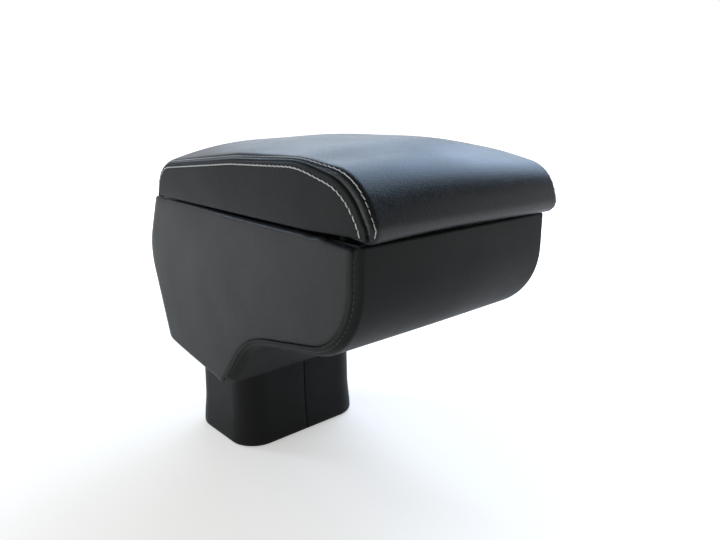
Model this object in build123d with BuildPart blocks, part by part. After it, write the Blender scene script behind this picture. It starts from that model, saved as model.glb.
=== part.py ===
from build123d import *
import os
from math import cos, radians, tan

# Car centre armrest: a padded lid, hinged at its back on a storage box. The box stands on a
# post that plugs into the centre console. Lengths are in millimetres, angles in degrees.
# The origin is the middle of the post's underside, +Z is up and -Y is the free front end.

# Covering
cover = 1.5             # leatherette with its fleece backing
seam_gap = 0.4          # open joint where two covers meet

# Post
post_width = 130.0
post_depth = 90.0
post_corner = 24.0
post_height = 80.0      # from the underside up to the heel of the box
post_wall = 4.0
post_draft = 0.8        # each side leans in towards the top
foot_thickness = 6.0
foot_clearance = 0.2
boss_diameter = 12.0
boss_inset = 9.0        # from the column's inner wall to the middle of a boss

# Box, seen from the side
box_width = 190.0
box_reach = 227.4       # front face ahead of the post's middle
rim_height = 220.5
knee_reach = 104.5      # where the flat underside meets the throat
heel_reach = 68.5       # where the throat meets the bottom over the post
tail_reach = 47.0       # rear bottom edge behind the post's middle
underside_slope = 10.8
throat_slope = 51.3
bottom_slope = 8.0
bulge_height = 174.0
back_lean_below = 20.0
back_lean_above = 23.5
nose_round = 56.0
knee_round = 58.0
bulge_round = 48.0
box_edge = 8.0          # rounding between the sides and the front, underside and throat
back_edge = 24.0        # rounding of the two upright corners at the back
bottom_round = 5.0
inner_round = 1.0       # least rounding of an edge inside the covers
rim_round = 4.0
box_wall = 3.5
ledge_width = 3.0       # inner ledge that the rim frame rests on
ledge_height = 6.0
lining = 1.5            # felt

# Rim frame
frame_thickness = 5.0
frame_clearance = 0.2
frame_band = 9.0        # width of the frame along the sides and the front
opening_corner = 8.0
rim_wall = 4.5          # box wall and cover outside the frame
frame_boss = 7.0        # diameter and depth of the bosses under the hinge screws
bumper_diameter = 7.0
bumper_stem = 3.0
bumper_round = 1.0
bumper_squeeze = 0.3    # free gap over the bumpers

# Lid
lid_gap = 4.5           # between the rim and the lid
lid_overlap = 2.0       # lid's sides outside the box's sides
lid_overhang = 6.6      # lid's front edge ahead of the box
brow_setback = 12.5     # the corner where the front of the pad turns into its top
brow_height = 26.4
brow_round = 35.0
peak_setback = 64.0     # the highest point of the side seam
peak_height = 42.2
peak_round = 170.0
nape_setback = 10.0     # the corner where the top of the pad turns down at the back
nape_height = 27.0
nape_round = 22.0
hem_round = 3.0
seam_swell = 6.0        # rise of the strip just inside the side seam
crown = 12.5            # rise of the middle of the pad over its side seams
strip_edge = 5.0        # rounding of the strip along the side seam
board_thickness = 8.0
board_margin = 7.5      # foam round the edge of the board
board_corner = 14.0
hem_width = 17.0        # cover turned in under the board
seam_allowance = 8.0    # edge of the strip turned in behind the side panels
seam_fold = 3.0         # thickness of that edge, folded double

# Hinge
hinge_length = 130.0
knuckle_count = 5
knuckle_radius = 1.95
knuckle_gap = 0.3
leaf_thickness = 1.2
leaf_width = 24.0
hinge_margin = 16.6     # axis ahead of the box's back at the rim
hinge_setback = 5.5     # axis behind the back edge of the lid
pin_diameter = 2.2
pin_clearance = 0.06
pin_head_radius = 1.8
pin_head = 1.0
hinge_screw_pitch = 44.0
hinge_screw_count = 3
hinge_screw_inset = 5.0 # from the free edge of a leaf to its screws

# Countersunk screws: head diameter, shank diameter, length
hinge_screw = (5.6, 2.8, 8.0)
post_screw = (8.0, 4.0, 22.0)
screw_fit = 0.05        # radial room round a shank or head
recess_width = 0.8
recess_depth = 0.9

# Places worked out from the sizes above
lid_bottom = rim_height + lid_gap
heel = Vector(-heel_reach, post_height)
knee = Vector(-knee_reach, heel.Y + (knee_reach - heel_reach) * tan(radians(throat_slope)))
nose = Vector(-box_reach, knee.Y + (box_reach - knee_reach) * tan(radians(underside_slope)))
tail = Vector(tail_reach, heel.Y + (tail_reach + heel_reach) * tan(radians(bottom_slope)))
bulge = Vector(tail_reach + (bulge_height - tail.Y) * tan(radians(back_lean_below)), bulge_height)
spare = 2 * rim_round + lid_gap     # stock above the rim and behind the back, trimmed away
stock_top = rim_height + spare
stock_back = bulge.X + spare
back_top = Vector(bulge.X - (stock_top - bulge_height) * tan(radians(back_lean_above)), stock_top)
back_foot = Vector(tail_reach - tail.Y * tan(radians(back_lean_below)), 0)
back_at_rim = bulge.X - (rim_height - bulge_height) * tan(radians(back_lean_above))
stock_tail = tail.Y + (stock_back - tail_reach) * tan(radians(bottom_slope))
hinge_y = back_at_rim - hinge_margin
hinge_z = rim_height + lid_gap / 2
lid_front = -box_reach - lid_overhang
lid_back = hinge_y - hinge_setback
lid_length = lid_back - lid_front
lid_width = box_width + 2 * lid_overlap

# Corners of an outline are (y, z, rounding), anticlockwise with y to the right and z up
belly_corners = [
    (-box_reach, stock_top, 0.0),
    (nose.X, nose.Y, nose_round),
    (knee.X, knee.Y, knee_round),
    (heel.X, heel.Y, 0.0),
    (stock_back, stock_tail, 0.0),
    (stock_back, stock_top, 0.0),
]
back_corners = [
    (-box_reach - spare, stock_top, 0.0),
    (-box_reach - spare, 0.0, 0.0),
    (back_foot.X, 0.0, 0.0),
    (bulge.X, bulge.Y, bulge_round),
    (back_top.X, back_top.Y, 0.0),
]


def inset_corners(corners, distance):
    """Move an anticlockwise outline inward by a distance, with its roundings kept concentric."""
    moved = []
    count = len(corners)
    for i, (y, z, rounding) in enumerate(corners):
        before = Vector(*corners[i - 1][:2])
        here = Vector(y, z)
        after = Vector(*corners[(i + 1) % count][:2])
        first = (here - before).normalized()
        second = (after - here).normalized()
        first_in = Vector(-first.Y, first.X)
        second_in = Vector(-second.Y, second.X)
        place = here + (first_in + second_in) * (distance / (1 + first_in.dot(second_in)))
        outward = first.cross(second).Z > 0
        if rounding:
            rounding = rounding - distance if outward else rounding + distance
        moved.append((place.X, place.Y, max(rounding, 0.0)))
    return moved


def side_sketch(corners, place=0.0):
    """Filled side-view outline, on the plane across the width at a place."""
    with BuildSketch(Plane.YZ.offset(place)) as side:
        with BuildLine():
            FilletPolyline(
                *[(y, z) for y, z, _ in corners],
                radius=[rounding for _, _, rounding in corners],
                close=True,
            )
        make_face()
    return side.sketch


def back_block(inset):
    """Stock that gives the box its bulged back with rounded upright corners."""
    with BuildPart() as block:
        outline = side_sketch(inset_corners(back_corners, inset))
        extrude(outline, amount=box_width / 2 - inset, both=True)
        back_faces = block.faces().sort_by(Axis.Y)[-3:]
        upright = back_faces.edges() & block.faces().filter_by(Axis.X).edges()
        fillet(upright, radius=back_edge - inset)
    return block.part


def box_form(inset, top, top_round=0.0):
    """Form of the box, moved inward by an inset and cut off at a height, with its top rounded."""
    with BuildPart() as form:
        outline = side_sketch(inset_corners(belly_corners, inset))
        extrude(outline, amount=box_width / 2 - inset, both=True)
        side_edges = form.faces().filter_by(Axis.X).edges()
        rounded = side_edges.filter_by(lambda edge: edge.center().Y < heel.X)
        lower = rounded.filter_by(lambda edge: edge.center().Z < stock_top - inset)
        fillet(lower, radius=max(box_edge - inset, inner_round))
        add(back_block(inset), mode=Mode.INTERSECT)
        split(bisect_by=Plane.XY.offset(top), keep=Keep.BOTTOM)
        bottom = form.faces().filter_by(GeomType.PLANE).sort_by_distance((0, 0, tail.Y))[0]
        fillet(bottom.edges(), radius=max(bottom_round - inset, inner_round))
        if top_round:
            fillet(form.faces().sort_by(Axis.Z)[-1].edges(), radius=top_round)
    return form.part


def rim_sketch(front, back, half_width, corners, height):
    """Plan outline at a height, with its own rounding for the front and the back corners."""
    front_corner, back_corner = corners
    with BuildSketch(Plane.XY.offset(height)) as plan:
        with Locations((0, (front + back) / 2)):
            Rectangle(2 * half_width, back - front)
        fillet(plan.vertices().group_by(Axis.Y)[0], radius=front_corner)
        fillet(plan.vertices().group_by(Axis.Y)[-1], radius=back_corner)
    return plan.sketch


def lid_corners(rise):
    """Side outline of the lid where its pad stands a rise higher than at the side seam."""
    return [
        (lid_front, lid_bottom, 0.0),
        (lid_back, lid_bottom, 0.0),
        (lid_back - nape_setback + rise / 2, lid_bottom + nape_height + rise, nape_round),
        (lid_front + peak_setback, lid_bottom + peak_height + rise, peak_round),
        (lid_front + brow_setback - rise, lid_bottom + brow_height + rise, brow_round),
    ]


def lid_form(inset, half_width):
    """Crowned form of the pad, lofted from one end of the strip over the middle to the other."""
    edge = inset_corners(lid_corners(seam_swell), inset)
    middle = inset_corners(lid_corners(crown), inset)
    with BuildPart() as form:
        loft([side_sketch(edge, -half_width), side_sketch(middle), side_sketch(edge, half_width)])
    return form.part


def countersunk_screw(size):
    """Countersunk screw, head up, with the top of its head at the origin and a cross recess."""
    head_diameter, shank_diameter, length = size
    cone = (head_diameter - shank_diameter) / 2
    with BuildPart() as screw:
        with BuildSketch(Plane.XZ):
            with BuildLine():
                Polyline(
                    (0, 0),
                    (head_diameter / 2, 0),
                    (shank_diameter / 2, -cone),
                    (shank_diameter / 2, -length + shank_diameter / 2),
                    (0, -length),
                    close=True,
                )
            make_face()
        revolve(axis=Axis.Z)
        with BuildSketch():
            Rectangle(head_diameter / 2, recess_width)
            Rectangle(recess_width, head_diameter / 2)
        extrude(amount=-recess_depth, mode=Mode.SUBTRACT)
    return screw.part


def screw_room(size):
    """Room that a countersunk screw needs, for its hole."""
    head_diameter, shank_diameter, length = size
    cone = (head_diameter - shank_diameter) / 2
    with BuildPart() as room:
        with BuildSketch(Plane.XZ):
            with BuildLine():
                Polyline(
                    (0, 0),
                    (head_diameter / 2 + screw_fit, 0),
                    (shank_diameter / 2 + screw_fit, -cone),
                    (shank_diameter / 2 + screw_fit, -length - screw_fit),
                    (0, -length - screw_fit),
                    close=True,
                )
            make_face()
        revolve(axis=Axis.Z)
    return room.part


os.makedirs("parts", exist_ok=True)

# Outline of the box's side panel: the seam runs where the rounding of the edge begins
seam_corners = inset_corners(belly_corners, box_edge)
side_panel_corners = [
    (seam_corners[0][0], stock_top, 0.0),
    seam_corners[1],
    seam_corners[2],
    (seam_corners[3][0], seam_corners[3][1], 0.0),
    (seam_corners[3][0], 0.0, 0.0),
    (stock_back, 0.0, 0.0),
    (stock_back, stock_top, 0.0),
]

# The rim frame drops into a rebate in the top of the tub
rebate_bottom = rim_height - frame_thickness
ledge_bottom = rebate_bottom - ledge_height
rim_inset = cover + rim_wall
rebate_half = box_width / 2 - rim_inset
rebate_front = -box_reach + rim_inset
rebate_back = back_at_rim - rim_inset
rebate_rounds = (box_edge - rim_inset, back_edge - rim_inset)
rebate_outline = rim_sketch(rebate_front, rebate_back, rebate_half, rebate_rounds, rebate_bottom)
frame_outline = rim_sketch(
    rebate_front + frame_clearance,
    rebate_back - frame_clearance,
    rebate_half - frame_clearance,
    [rounding - frame_clearance for rounding in rebate_rounds],
    rebate_bottom,
)
opening_front = rebate_front + frame_band
opening_back = hinge_y - leaf_width - frame_band / 2
opening_outline = rim_sketch(
    opening_front,
    opening_back,
    rebate_half - frame_band,
    (opening_corner, opening_corner),
    rebate_bottom,
)
bumper_x = rebate_half - frame_band / 2
bumper_places = [
    (x, y)
    for x in (-bumper_x, bumper_x)
    for y in (opening_front + frame_band, opening_back)
]

# The lid's board lies inside its covers, and its lining inside the turned-in hem
board_bottom = lid_bottom + cover
board_width = lid_width - 2 * board_margin
board_length = lid_length - 2 * board_margin
board_middle = (lid_front + lid_back) / 2
hem_opening_width = lid_width - 2 * hem_width
hem_opening_length = lid_length - 2 * hem_width
strip_end = inset_corners(lid_corners(seam_swell), strip_edge)
strip_half = lid_width / 2 - cover
panel_bottom = lid_bottom + hem_round
panel_corners = [
    (strip_end[0][0], panel_bottom, hem_round),
    (strip_end[1][0], panel_bottom, hem_round),
    *strip_end[2:],
]
window_corners = [(y, z, inner_round) for y, z, _ in inset_corners(panel_corners, seam_allowance)]

# The box's bottom over the post is a sloping plane
bottom_plane = Plane(
    origin=(0, heel.X, heel.Y),
    x_dir=(1, 0, 0),
    z_dir=Vector(0, 0, 1).rotate(Axis.X, bottom_slope),
)

# Screws between the box and the post stand square to that plane, over the column's bosses
boss_x = post_width / 2 - cover - post_wall - boss_inset
boss_y = post_depth / 2 - cover - post_wall - boss_inset
boss_places = [(x, y) for x in (-boss_x, boss_x) for y in (-boss_y, boss_y)]
floor_plane = bottom_plane.offset(cover + box_wall)
floor_places = [(x, (y + heel_reach) / cos(radians(bottom_slope))) for x, y in boss_places]
foot_plane = Plane(origin=(0, 0, 0), x_dir=(1, 0, 0), z_dir=(0, 0, -1))
hinge_screw_y = hinge_y - leaf_width + hinge_screw_inset
hinge_places = [
    ((i - (hinge_screw_count - 1) / 2) * hinge_screw_pitch, hinge_screw_y)
    for i in range(hinge_screw_count)
]
box_leaf_top = Plane.XY.offset(rim_height + leaf_thickness)
lid_leaf_bottom = Plane(
    origin=(0, 0, lid_bottom - leaf_thickness), x_dir=(1, 0, 0), z_dir=(0, 0, -1)
)
lid_hinge_places = [(x, -y) for x, y in hinge_places]

# Shared forms: outside of the covers, outside and inside of the tub, and inside of its felt
box_outside = box_form(0, rim_height, rim_round)
tub_outside = box_form(cover, rim_height - cover, rim_round - cover)
tub_inside = box_form(cover + box_wall, ledge_bottom)
ledge_inside = box_form(cover + box_wall + ledge_width, rim_height)
felt_inside = box_form(cover + box_wall + lining, rebate_bottom)
lid_inside = lid_form(cover, strip_half - seam_fold)
with BuildPart() as lid_outside:
    add(lid_form(0, strip_half))
    ends = lid_outside.faces().filter_by(Axis.X).edges()
    fillet(ends.filter_by(lambda edge: edge.center().Z > lid_bottom + cover), radius=strip_edge)
    fillet(lid_outside.faces().sort_by(Axis.Z)[0].edges(), radius=hem_round)

# Post column: a hollow moulding with a screw boss in each corner, cut off along the box's bottom
with BuildPart() as post_column:
    with BuildSketch():
        RectangleRounded(post_width - 2 * cover, post_depth - 2 * cover, post_corner - cover)
    extrude(amount=2 * post_height, taper=post_draft)
    with BuildSketch():
        RectangleRounded(
            post_width - 2 * (cover + post_wall),
            post_depth - 2 * (cover + post_wall),
            post_corner - cover - post_wall,
        )
    extrude(amount=2 * post_height, taper=post_draft, mode=Mode.SUBTRACT)
    with BuildSketch(Plane.XY.offset(foot_thickness)):
        with Locations(*boss_places):
            Circle(boss_diameter / 2)
    extrude(amount=2 * post_height)
    split(bisect_by=bottom_plane, keep=Keep.BOTTOM)
    with Locations(floor_plane):
        with Locations(*floor_places):
            add(screw_room(post_screw), mode=Mode.SUBTRACT)
    with Locations(foot_plane):
        with Locations(*boss_places):
            add(screw_room(post_screw), mode=Mode.SUBTRACT)
post_column.part.label = "post_column"
export_step(post_column.part, "parts/post_column.step")

# Post cover: a leatherette sleeve whose edges meet in a seam down the middle of the front
with BuildPart() as post_cover:
    with BuildSketch():
        RectangleRounded(post_width, post_depth, post_corner)
    extrude(amount=2 * post_height, taper=post_draft)
    with BuildSketch():
        RectangleRounded(post_width - 2 * cover, post_depth - 2 * cover, post_corner - cover)
    extrude(amount=2 * post_height, taper=post_draft, mode=Mode.SUBTRACT)
    with Locations((0, -post_depth / 2, post_height)):
        Box(seam_gap, 2 * post_corner, 4 * post_height, mode=Mode.SUBTRACT)
    split(bisect_by=bottom_plane, keep=Keep.BOTTOM)
post_cover.part.label = "post_cover"
export_step(post_cover.part, "parts/post_cover.step")

# Post foot: the plate that closes the column, flush with the cover's lower edge
with BuildPart() as post_foot:
    with BuildSketch():
        RectangleRounded(
            post_width - 2 * (cover + post_wall + foot_clearance),
            post_depth - 2 * (cover + post_wall + foot_clearance),
            post_corner - cover - post_wall - foot_clearance,
        )
    extrude(amount=foot_thickness, taper=post_draft)
    with Locations(foot_plane):
        with Locations(*boss_places):
            add(screw_room(post_screw), mode=Mode.SUBTRACT)
post_foot.part.label = "post_foot"
export_step(post_foot.part, "parts/post_foot.step")

with BuildPart() as post_foot_screws:
    with Locations(foot_plane):
        with Locations(*boss_places):
            add(countersunk_screw(post_screw))
post_foot_screws.part.label = "post_foot_screws"
export_step(post_foot_screws.part, "parts/post_foot_screws.step")

with BuildPart() as post_top_screws:
    with Locations(floor_plane):
        with Locations(*floor_places):
            add(countersunk_screw(post_screw))
post_top_screws.part.label = "post_top_screws"
export_step(post_top_screws.part, "parts/post_top_screws.step")

# Box shell: one moulded tub, shallow under the front of the lid and deep over the post
with BuildPart() as box_shell:
    add(tub_outside)
    add(tub_inside, mode=Mode.SUBTRACT)
    add(ledge_inside, mode=Mode.SUBTRACT)
    extrude(rebate_outline, amount=2 * frame_thickness, mode=Mode.SUBTRACT)
    with Locations(floor_plane):
        with Locations(*floor_places):
            add(screw_room(post_screw), mode=Mode.SUBTRACT)
box_shell.part.label = "box_shell"
export_step(box_shell.part, "parts/box_shell.step")

# Box side cover: one piece of leatherette round both sides, the back and the bottom at the rear
with BuildPart() as box_side_cover:
    add(box_outside)
    add(tub_outside, mode=Mode.SUBTRACT)
    extrude(rebate_outline, amount=2 * frame_thickness, mode=Mode.SUBTRACT)
    extrude(side_sketch(side_panel_corners), amount=box_width, both=True, mode=Mode.INTERSECT)
    with Locations(floor_plane):
        with Locations(*floor_places):
            add(screw_room(post_screw), mode=Mode.SUBTRACT)
box_side_cover.part.label = "box_side_cover"
export_step(box_side_cover.part, "parts/box_side_cover.step")

# Box front cover: the strip over the front, the underside and the throat, round onto the sides
with BuildPart() as box_front_cover:
    add(box_outside)
    add(tub_outside, mode=Mode.SUBTRACT)
    extrude(rebate_outline, amount=2 * frame_thickness, mode=Mode.SUBTRACT)
    side_panel = side_sketch(inset_corners(side_panel_corners, -seam_gap))
    extrude(side_panel, amount=box_width, both=True, mode=Mode.SUBTRACT)
box_front_cover.part.label = "box_front_cover"
export_step(box_front_cover.part, "parts/box_front_cover.step")

# Felt lining on the walls and floor of the tub, up to the ledge
with BuildPart() as box_lining:
    add(tub_inside)
    add(felt_inside, mode=Mode.SUBTRACT)
box_lining.part.label = "box_lining"
export_step(box_lining.part, "parts/box_lining.step")

# Rim frame: drops into the rebate, with a broad ledge for the hinge at the back
with BuildPart() as rim_frame:
    extrude(frame_outline, amount=frame_thickness)
    extrude(opening_outline, amount=frame_thickness, mode=Mode.SUBTRACT)
    with BuildSketch(Plane.XY.offset(rebate_bottom)):
        with Locations(*hinge_places):
            Circle(frame_boss / 2)
    extrude(amount=-frame_boss)
    with Locations(box_leaf_top):
        with Locations(*hinge_places):
            add(screw_room(hinge_screw), mode=Mode.SUBTRACT)
    with BuildSketch(Plane.XY.offset(rim_height)):
        with Locations(*bumper_places):
            Circle(bumper_stem / 2)
    extrude(amount=-frame_thickness, mode=Mode.SUBTRACT)
rim_frame.part.label = "rim_frame"
export_step(rim_frame.part, "parts/rim_frame.step")

# Rubber bumpers that hold the lid clear of the rim, with stems pushed into the frame
with BuildPart() as rim_bumpers:
    with BuildSketch(Plane.XY.offset(rim_height)):
        with Locations(*bumper_places):
            Circle(bumper_diameter / 2)
    extrude(amount=lid_gap - bumper_squeeze)
    fillet(rim_bumpers.faces().filter_by(Axis.Z).group_by(Axis.Z)[-1].edges(), radius=bumper_round)
    with BuildSketch(Plane.XY.offset(rim_height)):
        with Locations(*bumper_places):
            Circle(bumper_stem / 2)
    extrude(amount=-frame_thickness)
rim_bumpers.part.label = "rim_bumpers"
export_step(rim_bumpers.part, "parts/rim_bumpers.step")


def hinge_leaf(own, plate_bottom):
    """Leaf with the knuckles of one parity, its plate lying at a height and rolled round the pin."""
    pitch = hinge_length / knuckle_count
    middles = [(i - (knuckle_count - 1) / 2) * pitch for i in range(knuckle_count)]
    with BuildPart() as leaf:
        with BuildSketch(Plane.XY.offset(plate_bottom)):
            with Locations((0, hinge_y - leaf_width / 2)):
                Rectangle(hinge_length, leaf_width)
        extrude(amount=leaf_thickness)
        with BuildSketch(Plane.XY.offset(plate_bottom)):
            with Locations(*[(x, hinge_y) for i, x in enumerate(middles) if i % 2 != own]):
                Rectangle(pitch + 2 * knuckle_gap, 2 * (knuckle_radius + knuckle_gap))
        extrude(amount=leaf_thickness, mode=Mode.SUBTRACT)
        for x in [x for i, x in enumerate(middles) if i % 2 == own]:
            with BuildSketch(Plane.YZ.offset(x)):
                with Locations((hinge_y, hinge_z)):
                    Circle(knuckle_radius)
            extrude(amount=pitch / 2 - knuckle_gap / 2, both=True)
        with BuildSketch(Plane.YZ):
            with Locations((hinge_y, hinge_z)):
                Circle(pin_diameter / 2 + pin_clearance)
        extrude(amount=hinge_length, both=True, mode=Mode.SUBTRACT)
    return leaf.part


# Hinge: a leaf on the frame's ledge, a leaf under the board, and a pin through both
with BuildPart() as hinge_box_leaf:
    add(hinge_leaf(0, rim_height))
    with Locations(box_leaf_top):
        with Locations(*hinge_places):
            add(screw_room(hinge_screw), mode=Mode.SUBTRACT)
hinge_box_leaf.part.label = "hinge_box_leaf"
export_step(hinge_box_leaf.part, "parts/hinge_box_leaf.step")

with BuildPart() as hinge_lid_leaf:
    add(hinge_leaf(1, lid_bottom - leaf_thickness))
    with Locations(lid_leaf_bottom):
        with Locations(*lid_hinge_places):
            add(screw_room(hinge_screw), mode=Mode.SUBTRACT)
hinge_lid_leaf.part.label = "hinge_lid_leaf"
export_step(hinge_lid_leaf.part, "parts/hinge_lid_leaf.step")

with BuildPart() as hinge_pin:
    with BuildSketch(Plane.YZ):
        with Locations((hinge_y, hinge_z)):
            Circle(pin_diameter / 2)
    extrude(amount=hinge_length / 2, both=True)
    for side in (-1, 1):
        with BuildSketch(Plane.YZ.offset(side * hinge_length / 2)):
            with Locations((hinge_y, hinge_z)):
                Circle(pin_head_radius)
        extrude(amount=side * pin_head)
    fillet(hinge_pin.faces().filter_by(Axis.X).sort_by(Axis.X)[0].edges(), radius=pin_head / 2)
    fillet(hinge_pin.faces().filter_by(Axis.X).sort_by(Axis.X)[-1].edges(), radius=pin_head / 2)
hinge_pin.part.label = "hinge_pin"
export_step(hinge_pin.part, "parts/hinge_pin.step")

with BuildPart() as hinge_box_screws:
    with Locations(box_leaf_top):
        with Locations(*hinge_places):
            add(countersunk_screw(hinge_screw))
hinge_box_screws.part.label = "hinge_box_screws"
export_step(hinge_box_screws.part, "parts/hinge_box_screws.step")

with BuildPart() as hinge_lid_screws:
    with Locations(lid_leaf_bottom):
        with Locations(*lid_hinge_places):
            add(countersunk_screw(hinge_screw))
hinge_lid_screws.part.label = "hinge_lid_screws"
export_step(hinge_lid_screws.part, "parts/hinge_lid_screws.step")

# Lid board: the stiff base that the pad is built on
with BuildPart() as lid_board:
    with BuildSketch(Plane.XY.offset(board_bottom)):
        with Locations((0, board_middle)):
            RectangleRounded(board_width, board_length, board_corner)
    extrude(amount=board_thickness)
    with Locations(lid_leaf_bottom):
        with Locations(*lid_hinge_places):
            add(screw_room(hinge_screw), mode=Mode.SUBTRACT)
lid_board.part.label = "lid_board"
export_step(lid_board.part, "parts/lid_board.step")

# Lid foam: fills the crowned form over the board, and out to the side panels inside their seams
with BuildPart() as lid_foam:
    add(lid_inside)
    extrude(side_sketch(window_corners), amount=strip_half, both=True)
    with BuildSketch(Plane.XY.offset(board_bottom - cover)):
        with Locations((0, board_middle)):
            RectangleRounded(board_width, board_length, board_corner)
    extrude(amount=board_thickness + cover, mode=Mode.SUBTRACT)
lid_foam.part.label = "lid_foam"
export_step(lid_foam.part, "parts/lid_foam.step")

# What is cut out of the strip underneath: the opening inside its hem, and the hinge's screw holes
with BuildPart() as hem_cutout:
    with BuildSketch(Plane.XY.offset(lid_bottom)):
        with Locations((0, board_middle)):
            RectangleRounded(hem_opening_width, hem_opening_length, board_corner)
    extrude(amount=cover)
    with Locations(lid_leaf_bottom):
        with Locations(*lid_hinge_places):
            add(screw_room(hinge_screw))

# Lid strip: over the front, top and back, turned in under the board and behind the side panels
with BuildPart() as lid_top_cover:
    add(lid_outside.part)
    add(lid_inside, mode=Mode.SUBTRACT)
    extrude(side_sketch(window_corners), amount=lid_width, both=True, mode=Mode.SUBTRACT)
    add(hem_cutout.part, mode=Mode.SUBTRACT)
lid_top_cover.part.label = "lid_top_cover"
export_step(lid_top_cover.part, "parts/lid_top_cover.step")


def lid_side_panel(side):
    """Flat side of the lid's cover, sewn to the strip along its whole curved edge."""
    with BuildPart() as panel:
        outline = side_sketch(panel_corners, side * lid_width / 2)
        extrude(outline, amount=-side * cover)
    return panel.part


with BuildPart() as lid_left_panel:
    add(lid_side_panel(-1))
lid_left_panel.part.label = "lid_left_panel"
export_step(lid_left_panel.part, "parts/lid_left_panel.step")

with BuildPart() as lid_right_panel:
    add(lid_side_panel(1))
lid_right_panel.part.label = "lid_right_panel"
export_step(lid_right_panel.part, "parts/lid_right_panel.step")

# Lid lining: the felt panel that hides the board inside the turned-in hem
with BuildPart() as lid_lining:
    with BuildSketch(Plane.XY.offset(lid_bottom)):
        with Locations((0, board_middle)):
            RectangleRounded(
                hem_opening_width - 2 * seam_gap,
                hem_opening_length - 2 * seam_gap,
                board_corner - seam_gap,
            )
    extrude(amount=cover)
lid_lining.part.label = "lid_lining"
export_step(lid_lining.part, "parts/lid_lining.step")
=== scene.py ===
import logging
import math
from dataclasses import dataclass, field
from enum import Enum
from functools import cache

import bpy
import numpy as np
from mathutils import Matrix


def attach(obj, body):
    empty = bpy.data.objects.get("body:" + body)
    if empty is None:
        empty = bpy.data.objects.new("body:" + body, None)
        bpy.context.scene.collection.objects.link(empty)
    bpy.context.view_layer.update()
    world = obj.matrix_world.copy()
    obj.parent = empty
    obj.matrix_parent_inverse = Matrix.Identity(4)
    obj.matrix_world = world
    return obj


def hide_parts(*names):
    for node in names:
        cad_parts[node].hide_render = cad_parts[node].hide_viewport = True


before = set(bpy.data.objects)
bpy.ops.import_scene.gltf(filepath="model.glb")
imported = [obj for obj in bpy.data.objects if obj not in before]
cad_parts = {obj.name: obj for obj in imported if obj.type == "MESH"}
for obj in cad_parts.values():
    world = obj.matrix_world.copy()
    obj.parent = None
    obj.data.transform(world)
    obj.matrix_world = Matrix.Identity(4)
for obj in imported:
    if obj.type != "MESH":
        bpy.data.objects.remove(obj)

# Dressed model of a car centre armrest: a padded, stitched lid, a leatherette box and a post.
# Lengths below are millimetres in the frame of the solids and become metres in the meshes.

LOG = logging.getLogger("armrest")
MM = 0.001
QUARTER = math.pi / 2
WHITE = (1.0, 1.0, 1.0, 1.0)
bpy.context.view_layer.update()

Array = np.ndarray
Pair = tuple[float, float]
Triple = tuple[float, float, float]
Values = tuple[float, ...]
Socket = bpy.types.NodeSocket
Inputs = dict[str | int, object]


class Side(Enum):
    """Side of the armrest, as the sign of its x."""

    LEFT = -1
    RIGHT = 1


class Body(Enum):
    """Rigid bodies of the frame."""

    BOX = "box"
    LID = "lid"


class Coords(Enum):
    """Coordinates that a shader reads."""

    OBJECT = "Object"
    GENERATED = "Generated"


class Fade(Enum):
    """How a shader's value changes from one end to the other."""

    SMOOTH = "SMOOTHSTEP"
    EVEN = "LINEAR"


class Operation(Enum):
    """What a shader does with numbers."""

    GREATER = "MAXIMUM"
    PRODUCT = "MULTIPLY"
    PRODUCT_AND_SUM = "MULTIPLY_ADD"


def curl(distance: Array, radius: float) -> Array:
    """Quarter-circle rise from 0 to 1: sqrt(1 - (1 - q)^2), where q is distance over radius, up to 1."""
    q = np.clip(np.asarray(distance, float) / radius, 0.0, 1.0)
    return np.sqrt(1.0 - (1.0 - q) ** 2)


def ease(value: Array, start: float, end: float) -> Array:
    """Smooth step 3q^2 - 2q^3, where q goes from 0 at the start to 1 at the end."""
    q = np.clip((np.asarray(value, float) - start) / (end - start), 0.0, 1.0)
    return q * q * (3.0 - 2.0 * q)


def bell(value: Array, middle: Array | float, width: float) -> Array:
    """Bell curve exp(-((v - middle) / width)^2)."""
    return np.exp(-(((np.asarray(value, float) - middle) / width) ** 2))


def crowd(share: Array) -> Array:
    """Even shares from 0 to 1, moved closer together towards both ends by a cosine."""
    return 0.3 * share + 0.7 * (0.5 - 0.5 * np.cos(math.pi * share))


def unit(rows: Array) -> Array:
    """Vectors brought to length 1."""
    return rows / np.maximum(np.linalg.norm(rows, axis=-1, keepdims=True), 1e-9)


def lengths_along(line: Array) -> Array:
    """Length of a line of points up to each of them."""
    return np.concatenate([[0.0], np.cumsum(np.linalg.norm(np.diff(line, axis=0), axis=1))])


def sample(places: Array, along: Array, rows: Array) -> Array:
    """Rows that are given at lengths along a line, read at other places on it."""
    return np.stack([np.interp(places, along, column) for column in rows.T], axis=-1)


def between(grid: Array, column: Array) -> Array:
    """Grid read at one place in each row, which may lie between two columns.

    Args:
        grid: Array of rows by columns by 3.
        column: Column number in each row, with a fraction.

    Returns:
        One blended point for each row.
    """
    low = np.floor(column).astype(int)
    part = (column - low)[:, None]
    every = np.arange(len(grid))
    return grid[every, low] * (1.0 - part) + grid[every, low + 1] * part


def seam_row(grid: Array, column: Array, side: Side) -> tuple[Array, Array]:
    """Line on a grid at columns that are counted from the seam of one side.

    Args:
        grid: Array of rows by columns by 3.
        column: Column number in each row, with a fraction.
        side: Side whose seam the columns are counted from.

    Returns:
        Points of the line, and the grid's normals there: the cross product of its steps along rows
        and along columns.
    """
    if side is Side.RIGHT:
        column = grid.shape[1] - 1 - column
    normals = unit(np.cross(np.gradient(grid, axis=1), np.gradient(grid, axis=0)))
    return between(grid, column), between(normals, column)


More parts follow.
